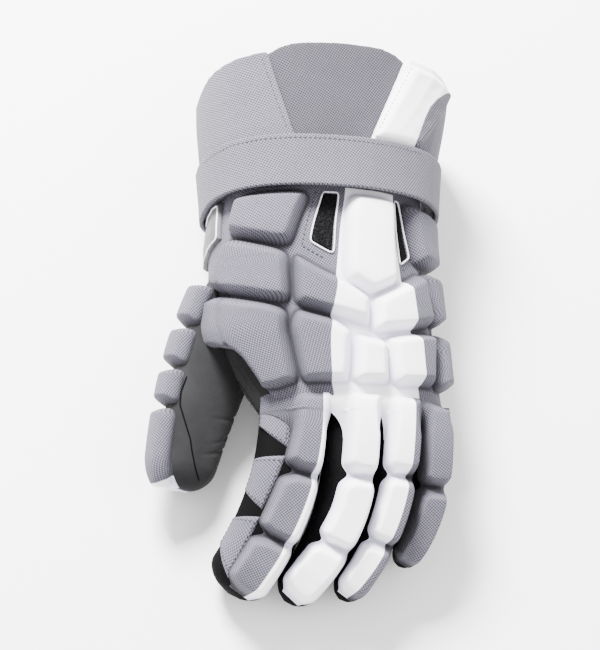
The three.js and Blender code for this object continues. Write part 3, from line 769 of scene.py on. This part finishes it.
CLOTH_LEVEL = 1.2 * MM  # how high the cloth lies between blocks
BLOCK_TOP = 10.6 * MM
BLOCK_BEVEL = 5.0 * MM
BLOCK_INSET = 0.25 * MM
BACK_TUCK = -0.6 * MM  # how low the borders of the cloth are turned under
# OPEN_CLOTH and OPEN_FADE say where the painted groove shade ends, away from the blocks.
OPEN_CLOTH, OPEN_FADE = 1.0 * MM, 2 * MM  # how far from any block the cloth is no longer a groove
FILL = 0.8  # meant as how firmly a padded piece is filled; finished takes it as fill and does not use it
ARCH_TURNS = (143, 147, 149.5, 151, 152.5, 156, 162, 170, 184)
ARCH_ENDS = (1.0, 0.985, 0.95, 0.88, 0.82, 0.787, 0.768, 0.757, 0.757)


def hand_base(u, v):
    return lifted(hand_skin, u, v, CLOTH_LEVEL)


def resized(outline, inset):
    """An outline drawn in by a length, as a share of its own size."""
    middle = outline.mean(axis=0)
    edge = hand_base(outline[:, 0], outline[:, 1])
    reach = np.linalg.norm(edge - edge.mean(axis=0), axis=1)
    return middle + (outline - middle) * (1 - inset / reach)[:, None]


# The sheet's lines are closer together round the arch's steep part.
turns = np.concatenate([
    np.linspace(-3.4, 142, 260), np.linspace(142.4, 157, 52), np.linspace(157.6, 183.4, 40)])
U, V = np.meshgrid(np.linspace(0.0, 1.0, 236), turns, indexing="ij")
U = U * np.interp(V, ARCH_TURNS, ARCH_ENDS)
outlines = [resized(rounded(corners), BLOCK_INSET) for _, corners in BLOCKS]
rise = eased(rises(hand_base, U, V, outlines, BLOCK_BEVEL), 2)
low, high = hand_base(U, V), lifted(hand_skin, U, V, BLOCK_TOP)
points = low + (high - low) * rise[..., None]
under = lifted(hand_skin, U, V, BACK_TUCK)
tuck(points, under, np.s_[0, :], np.s_[-1, turns > 143], np.s_[:, 0], np.s_[:, -1])
seam = signed_distance(hand_base, rounded(WHITE_PANEL, 30, 4), U, V)
# open_cloth marks flat cloth well away from any block; it raises the rise value there, so that the painted
# groove shade stays off it.
beyond = np.min([distance_to(hand_base(*ring.T), low.reshape(-1, 3)) for ring in outlines], axis=0)
beyond = beyond.reshape(U.shape)
open_cloth = np.clip((beyond - OPEN_CLOTH) / OPEN_FADE, 0, 1) * (rise < 0.03)  # lies low, but in no groove
back = sheet_mesh("back_padding", points, {"white": seam, "rise": np.maximum(rise, eased(open_cloth, 3))})
back_nodes = [node for nodes, _ in BLOCKS for node in nodes]
keep_near(back, ["back_liner", *back_nodes], 8 * MM)
finished(back, grey_padding, *back_nodes, slot="grey_weave", fill=FILL)
liner = copy_of("liner", "back_liner")
finished(liner, suede.material, "back_liner", slot="grey_suede")
arch_turns = np.linspace(150, 183, 60)
arch_ends = np.interp(arch_turns, ARCH_TURNS, ARCH_ENDS) - 0.004  # just inside the cloth's edge
arch_edge = lifted(hand_skin, arch_ends, arch_turns, 0.9 * MM)
cord("arch_binding", [arch_edge], 1.0 * MM, suede.material)

# %% [markdown]
# ## Mesh windows
# Beside the centre pad lie two windows of black mesh. White piping runs round each, and outside it the grey
# border is stitched down.

# %% Mesh windows
WINDOWS = {
    # side: the window's corners, and the line that its border is stitched along
    "thumb_side": (((0.165, 93), (0.165, 87), (0.425, 89), (0.375, 98.5)),
                   ((0.165, 96), (0.395, 102.5), (0.443, 92.5))),
    "little_side": (((0.165, 54), (0.165, 51), (0.39, 42.5), (0.435, 51.5)),
                    ((0.165, 48.6), (0.4, 39.8), (0.458, 50.5))),
}
PIPING, PIPING_STEP = 0.45 * MM, 1.2 * MM  # half as thick as the cord, and the length of its pieces
THREAD = 0.32 * MM  # half as thick as a stitch
for side, (corners, border) in WINDOWS.items():
    window = copy_of(f"mesh_window_{side}", f"vent_mesh_{side}")
    weld(window, 0.5 * MM, 3)
    finished(window, mesh_cloth.material, f"vent_mesh_{side}", slot="black_mesh")
    ring = rounded(corners, 16, 3)
    rim = closed(lifted(hand_skin, ring[:, 0], ring[:, 1], 1.9 * MM))
    rim = spaced(rim, PIPING_STEP)
    cord(f"window_piping_{side}", [rim], PIPING, white_piping.material)
    line = spaced(np.array(border), 0.01)
    hem = lifted(hand_skin, line[:, 0], line[:, 1], 1.5 * MM)
    cord(f"window_stitches_{side}", stitches_along(hem), THREAD, thread.material, sides=5)

# %% [markdown]
# ## Fingers
# Each finger is a black stretch stall with a chain of blocks under one strip of cloth on its back. The
# strip is drawn in at each joint. At the knuckles it climbs to the cloth of the hand and meets its
# neighbours.

# %% Fingers
FINGER_JOINTS = {
    # finger: joints along it, and where the strip's edges lie round it between them
    "index": ((-0.03, 0.32, 0.645, 0.955), ((20, 96), (18, 106), (18, 108))),
    "middle": ((-0.032, 0.315, 0.645, 0.96), ((22, 113), (20, 115), (20, 132))),
    "ring": ((-0.032, 0.315, 0.645, 0.96), ((22, 135), (22, 137), (22, 137))),
    "little": ((-0.035, 0.43, 0.955), ((20, 156), (20, 156))),
}
SIDE_STRIP = {"index": 0.36, "ring": 0.42}  # how much of the strip the second colour takes
OVERLAP = 0.2 * MM  # how high the strip lies on the hand's cloth, which it starts on
WEB_SOLID, WEB = 0.055, 0.15  # neighbours are joined up to the first share and apart from the second
JOINT_HALF, DRAWN_IN = 0.03, 0.17  # a joint's half length, and how much of the strip's width it takes away
KNUCKLE_RISE = 6.5 * MM  # how high the first block stands on the hand's cloth
STRIP_LIFT, FINGER_CROWN, FINGER_BEVEL = 0.9 * MM, 11.0 * MM, 4.6 * MM
TIP_DROP = 0.35  # how much lower the crown is at the fingertip, as a share
FINGER_TUCK = -0.4 * MM
STRIP_WIDTH = 20 * MM
rim_turns = np.linspace(10, 170, 161)
knuckle_rim = lifted(hand_skin, np.ones(rim_turns.shape), rim_turns, CLOTH_LEVEL)
knuckle_rim = knuckle_rim[np.argsort(knuckle_rim[:, 0])]


def smooth_step(x):
    """0 up to 0, 1 from 1, and an easy rise between."""
    x = np.clip(x, 0, 1)
    return x * x * (3 - 2 * x)


def block_ring(start, end, near, far):
    """The outline of a block that takes up a length of a strip."""
    return rounded(((start, near), (start, far), (end, far), (end, near)), 48, 60)


def finger_strip(finger):
    """The strip of padded cloth on a finger: its outline, its height and its seam."""
    digit = digits[finger]
    joints, edges = FINGER_JOINTS[finger]
    t = np.linspace(joints[0] - 0.014, joints[-1] + 0.012, 200)
    middle = [(a + b) / 2 for a, b in zip(joints, joints[1:])]
    near_edge, far_edge = (np.interp(t, middle, [pair[k] for pair in edges]) for k in (0, 1))
    waist = sum(np.exp(-(((t - joint) / JOINT_HALF) ** 2)) for joint in joints[1:])
    flare = 1 - np.sqrt(1 - np.clip((WEB - t) / (WEB - WEB_SOLID), 0, 1) ** 2)
    drawn_in = DRAWN_IN * (far_edge - near_edge) * waist
    block_near, block_far = near_edge + drawn_in, far_edge - drawn_in
    near_edge = block_near - (block_near + 2) * flare
    far_edge = block_far + (178 - block_far) * flare
    share = np.linspace(0, 1, 64)
    T = np.repeat(t[:, None], len(share), axis=1)
    S = np.repeat(share[None, :], len(t), axis=0)

    def turn_at(u, s):
        return np.interp(u, t, near_edge) * (1 - s) + np.interp(u, t, far_edge) * s

    def strip_share(u, s):
        """A share of the blocks' own width as a share of the strip, which flares at the knuckle."""
        turn = np.interp(u, t, block_near) * (1 - s) + np.interp(u, t, block_far) * s
        near, far = np.interp(u, t, near_edge), np.interp(u, t, far_edge)
        return (turn - near) / (far - near)

    def base(u, s):
        on = lifted(digit.at, u, turn_at(u, s), STRIP_LIFT)
        climb = smooth_step(1 - u / WEB)[..., None]
        height = np.interp(on[..., 0], knuckle_rim[:, 0], knuckle_rim[:, 2])
        level = KNUCKLE_Y - u * digit.length
        up = np.stack([on[..., 0], level, height + OVERLAP], axis=-1)
        return on * (1 - climb) + up * climb

    gap = CHANNEL / digit.length
    rings = [block_ring(a + gap, b - gap, 0.03, 0.97) for a, b in zip(joints, joints[1:])]
    for ring in rings:
        ring[:, 1] = strip_share(*ring.T)
    rise = eased(rises(base, T, S, rings, min(FINGER_BEVEL, 0.3 * digit.width)), 2)
    low = base(T, S)
    turns = turn_at(T, S)
    drop = 1 - TIP_DROP * smooth_step((T - 0.78) / 0.2)
    high = digit.at(T, turns, crown=FINGER_CROWN * drop)
    root_x, _, root_z = high[np.argmin(np.abs(t)), len(share) // 2]
    short = np.interp(root_x, knuckle_rim[:, 0], knuckle_rim[:, 2]) + KNUCKLE_RISE - root_z
    high[..., 2] += max(short, 0) * smooth_step(1 - T / 0.45)
    points = low + (high - low) * rise[..., None]
    under = np.where(T[..., None] > WEB, lifted(digit.at, T, turns, FINGER_TUCK), low)
    tuck(points, under, np.s_[-1, :], np.s_[:, 0], np.s_[:, -1])
    points[0, :, 2] += BACK_TUCK
    across = (turns - np.interp(T, t, block_near)) / np.interp(T, t, block_far - block_near)
    seam = {
        "index": SIDE_STRIP["index"] - across,
        "middle": S * 0 + 1,
        "ring": across - SIDE_STRIP["ring"],
        "little": S * 0 - 1,
    }[finger]
    # Where the strip flares onto the hand's cloth, the painted groove shade is mostly held back.
    open_cloth = smooth_step(1 - T / WEB) * 0.6
    return points, {"white": seam * STRIP_WIDTH, "rise": np.maximum(rise, open_cloth)}


for finger in FINGER_JOINTS:
    points, attributes = finger_strip(finger)
    blocks = [f"{finger}_pad_{i + 1}" for i in range(len(FINGER_JOINTS[finger][0]) - 1)]
    pads = sheet_mesh(f"{finger}_padding", points, attributes)
    slot = "grey_weave" if finger in ("index", "little") else "white_weave"
    finished(pads, grey_padding, *blocks, slot=slot, fill=FILL)
    T, V = np.meshgrid(np.linspace(0, 1.0, 90), np.linspace(0, 360, 73), indexing="ij")
    sock = sheet_mesh(f"{finger}_sock", digits[finger].at(T, V))
    apply(sock, "SOLIDIFY", thickness=1.4 * MM, offset=-1.0)
    finished(sock, black.material, f"{finger}_stall", slot="black_stretch")

# %% [markdown]
# ## The index finger's side
# Three flat patches of the grey cloth are sewn on the outer side of the index stall, each with a row of
# stitches round it.

# %% The index finger's side
TABS = (
    # along the finger: inner edge from and to, its turn at each end, outer edge from and to
    (0.015, 0.22, 94, 95, 0.015, 0.11),
    (0.255, 0.54, 97, 108, 0.29, 0.48),
    (0.575, 0.94, 106, 101, 0.64, 0.8),
)
TAB_LEVEL, TAB_TUCK = 1.6 * MM, 0.3 * MM
TAB_OUTER_TURN = 168
TAB_GRID = 60
HEM_FROM, HEM_TO = 0.09, 0.91  # where the stitches run, as shares of a tab
index = digits["index"]
share = np.linspace(0, 1, TAB_GRID)
for i, (inner_from, inner_to, inner_start, inner_end, outer_from, outer_to) in enumerate(TABS):
    A, B = np.meshgrid(share, share, indexing="ij")
    inner, outer = inner_from + (inner_to - inner_from) * A, outer_from + (outer_to - outer_from) * A
    T = inner * (1 - B) + outer * B
    V = (inner_start + (inner_end - inner_start) * A) * (1 - B) + TAB_OUTER_TURN * B
    inward = np.minimum(np.minimum(A, 1 - A), np.minimum(B, 1 - B))
    lift = TAB_LEVEL * np.minimum(inward / 0.06, 1) ** 0.5 - TAB_TUCK
    points = lifted(index.at, T, V, lift[..., None])
    tab = sheet_mesh(f"index_side_tab_{i + 1}", points, {"white": T * 0 - MM, "rise": T * 0 + 1})
    finished(tab, grey_padding, f"index_tab_{i + 1}", slot="grey_weave")
    side = np.linspace(HEM_FROM, HEM_TO, 30)
    ring_a = np.concatenate([side, side * 0 + HEM_TO, side[::-1], side * 0 + HEM_FROM])
    ring_b = np.concatenate([side * 0 + 0.08, side, side * 0 + 0.9, side[::-1]])
    last = TAB_GRID - 1
    hem_points = [points[round(a * last), round(b * last)] for a, b in zip(ring_a, ring_b)]
    hem = stitches_along(closed(laid_on(hem_points, tab, 0.1 * MM)))
    cord(f"tab_stitches_{i + 1}", hem, 0.38 * MM, thread.material, sides=5)

# %% [markdown]
# ## Thumb and palm
# The thumb's outer side carries its own chain of blocks with a small white cap at the tip. Its inner side
# is dark suede, with creases where the thumb bends and a seam down its length.

# %% Thumb and palm
THUMB_JOINTS = (0.168, 0.351, 0.521, 0.681, 0.986)
THUMB_BLOCKS = [f"thumb_pad_{i + 1}" for i in range(4)] + ["thumb_tip_cap"]
THUMB_TOP, THUMB_BEVEL, THUMB_CLOTH = 10 * MM, 4.2 * MM, 1.2 * MM
THUMB_TUCK = -0.4 * MM
CAP_FROM = 0.955  # where the white cap starts
CREASES = ((0.62, 205, 0.0009), (0.7, 200, 0.0014), (0.78, 210, 0.001))  # at, turn, slope
CREASE_HALF, CREASE_REACH, CREASE_DEPTH = 0.009, 38, 0.9 * MM  # along, degrees round and inwards
FOLD_TURN, FOLD_WAVE, FOLD_HALF = 168, 14, 2.2  # degrees: a long fold that winds down the suede
SUEDE_SEAM = (  # in the photograph's pixels
    (187, 376), (181, 392), (180, 405), (186, 425), (190, 438), (192, 452), (195, 467), (199, 481))
SUEDE_WALL = 1.4 * MM
thumb = digits["thumb"]
T, V = np.meshgrid(np.linspace(0.15, 0.995, 240), np.linspace(-26, 132, 128), indexing="ij")


def thumb_base(u, v):
    return lifted(thumb.at, u, v, THUMB_CLOTH)


gap = CHANNEL / thumb.length
rings = [block_ring(a + gap, b - gap, 127, -21) for a, b in zip(THUMB_JOINTS, THUMB_JOINTS[1:])]
rise = eased(rises(thumb_base, T, V, rings, THUMB_BEVEL), 2)
low, high = thumb_base(T, V), lifted(thumb.at, T, V, THUMB_TOP)
points = low + (high - low) * rise[..., None]
under = lifted(thumb.at, T, V, THUMB_TUCK)
tuck(points, under, np.s_[0, :], np.s_[-1, :], np.s_[:, 0], np.s_[:, -1])
thumb_pads = sheet_mesh("thumb_padding", points, {"white": (T - CAP_FROM) * thumb.length, "rise": rise})
keep_near(thumb_pads, [*THUMB_BLOCKS, "thumb_stall"], 6 * MM)
finished(thumb_pads, grey_padding, *THUMB_BLOCKS, slot="grey_weave", fill=FILL)
T, V = np.meshgrid(np.linspace(0.05, 1.0, 190), np.linspace(0, 360, 145), indexing="ij")
crease = np.zeros(T.shape)
for at, turn, slope in CREASES:
    off = T - at - slope * (V - turn)
    crease = crease + np.exp(-((off / CREASE_HALF) ** 2)) * np.exp(-(((V - turn) / CREASE_REACH) ** 2))
off = V - FOLD_TURN - FOLD_WAVE * np.sin(T * 5)
crease = crease + 0.8 * np.exp(-((off / FOLD_HALF) ** 2)) * (T > 0.35)
suede_points = full_thumb.at(T, V)
inward = unit(suede_points - full_thumb.frame(T)[0])
thumb_skin = sheet_mesh("thumb_suede", suede_points - inward * (crease * CREASE_DEPTH)[..., None])
keep_near(thumb_skin, ["thumb_stall"], 3.6 * MM)
apply(thumb_skin, "SOLIDIFY", thickness=SUEDE_WALL, offset=-1.0)
finished(thumb_skin, suede.material, "thumb_stall", slot="grey_suede")
seam_line = seen_on(spaced(np.array(SUEDE_SEAM), 2.0), thumb_skin, 0.0)
cord("thumb_suede_seam", [seam_line], 0.45 * MM, black.material)
palm = copy_of("palm_suede", "palm_panel")
weld(palm, 1.1 * MM, 3)
finished(palm, suede.material, "palm_panel", slot="grey_suede")

# %% [markdown]
# ## Cuff
# Two foam wings wrap over a darker middle panel. The little finger's wing is faced with white cloth that
# ends along a curved seam. A broad woven strap goes round them. Their weave runs round the cuff's own axis.

# %% Cuff
CUFF_AXIS = Vector((-6 * MM, 0, 40 * MM))  # a point on it; it runs along Y
CUFF_RADIUS = 60 * MM
WHITE_FACE = (  # where the white cloth shows, in the photograph's pixels
    (330, 160), (330, 30), (480, 30), (480, 90), (447, 93),
    (437, 99), (430, 107), (425, 118), (420, 132), (414, 148),
)
WHITE_ABOVE = 48 * MM  # the white cloth ends at this height, out of the picture's sight
STEP_BACK = 2 * math.pi * 50 * MM  # under the cuff the coordinates start again, and faces there step back
CUFF_FILL = 0.6


def wrap_uv(piece):
    """Lays cloth coordinates in metres, round the cuff's axis and along it."""
    layer = piece.data.uv_layers.new(name="cloth")
    places = []
    for vertex in piece.data.vertices:
        away = vertex.co - CUFF_AXIS
        places.append((math.atan2(away.x, away.z) * CUFF_RADIUS, vertex.co.y))
    for face in piece.data.polygons:
        corners = [places[i] for i in face.vertices]
        first = corners[0][0]
        for i, (u, v) in zip(face.loop_indices, corners):
            past = abs(u - first) >= STEP_BACK / 2
            layer.data[i].uv = (u - math.copysign(STEP_BACK, u) if past else u, v)


def white_where(piece, values):
    """Stores where the white cloth lies: metres past the seam, more than zero on the white side."""
    # A rise of 1 everywhere keeps the painted channel shade off these pieces.
    for key, painted in (("white", values), ("rise", [1.0] * len(values))):
        piece.data.attributes.new(key, "FLOAT", "POINT").data.foreach_set("value", painted)


def pixels_of(piece):
    """Where each point of a piece shows in the photograph."""
    places = []
    for vertex in piece.data.vertices:
        ray = vertex.co - eye
        ray = ray * (DISTANCE / -ray.dot(BACK)) + eye - aim
        places.append((FRAME_W / 2 + ray.dot(RIGHT) / PIXEL, FRAME_H / 2 - ray.dot(UP) / PIXEL))
    return np.array(places)


def white_face(piece):
    """The distance of each point from the white cloth's seam, in metres."""
    outline, places = np.array(WHITE_FACE, dtype=float), pixels_of(piece)
    far = distance_to(outline, places) * PIXEL
    heights = np.array([vertex.co.z for vertex in piece.data.vertices])
    side = np.where(inside(outline, places[:, 0], places[:, 1]), far, -far)
    return np.where(heights > WHITE_ABOVE, side, -far)


for name, nodes, finish, slot in (
    ("cuff_middle", ("cuff_back",), dark_weave, "grey_weave"),
    ("thumb_side_wing", ("cuff_thumb_wing",), cuff_weave, "grey_weave"),
    ("little_side_wing", ("cuff_little_wing", "cuff_white_panel"), cuff_weave, "white_weave"),
    ("strap", ("wrist_strap",), cuff_weave, "grey_weave"),
):
    piece = copy_of(name, *nodes)
    thin = name == "strap"
    if thin:
        weld(piece, 0.9 * MM, 3)
    else:
        weld(piece, 1.1 * MM, 7, swell=0.3 * MM)
    faced = name == "little_side_wing"
    white_where(piece, white_face(piece) if faced else [-MM] * len(piece.data.vertices))
    wrap_uv(piece)
    finished(piece, finish, *nodes, slot=slot, fill=None if thin else CUFF_FILL)

# %% [markdown]
# ## Stitching on the cuff
# Rows of stitches run beside the wings' edges and along the strap. Each row is a line in the photograph's
# pixels that is laid on the cloth under it.

# %% Stitching on the cuff
ROWS = {
    "thumb_side_wing": (((262, 58), (268, 76), (276, 98), (287, 128)),),
    "little_side_wing": (((380, 128), (390, 108), (402, 86), (412, 67)),),
    "strap": (
        ((204, 163), (213, 155), (232, 145), (262, 139), (295, 137),
         (328, 138), (361, 141), (394, 146), (421, 153)),
        ((205, 217), (213, 207), (232, 196), (262, 188), (295, 184),
         (328, 183), (361, 186), (394, 191), (421, 199)),
    ),
}
ROW_STEP = 2.0  # pixels
for name, rows in ROWS.items():
    piece = bpy.data.objects[name]
    runs = []
    for row in rows:
        runs += stitches_along(seen_on(spaced(row, ROW_STEP), piece, 0.1 * MM))
    cord(f"stitches_{name}", runs, THREAD, thread.material, sides=5)

# %% [markdown]
# ## Side flap
# A smooth flap hangs out under the cuff on the thumb's side, with a raised light border round it.

# %% Side flap
flap = copy_of("side_flap", "cuff_side_flap")
weld(flap, 0.5 * MM, 3)
finished(flap, flap_skin.material, "cuff_side_flap", slot="grey_gloss")
ring = rounded(((0.17, 200), (0.17, 163), (0.325, 160), (0.36, 195)), 16, 3)
border = laid_on(lifted(hand_skin, ring[:, 0], ring[:, 1], 4 * MM), flap, 0.1 * MM)
cord("flap_border", [spaced(closed(border), PIPING_STEP)], 0.5 * MM, white_piping.material)
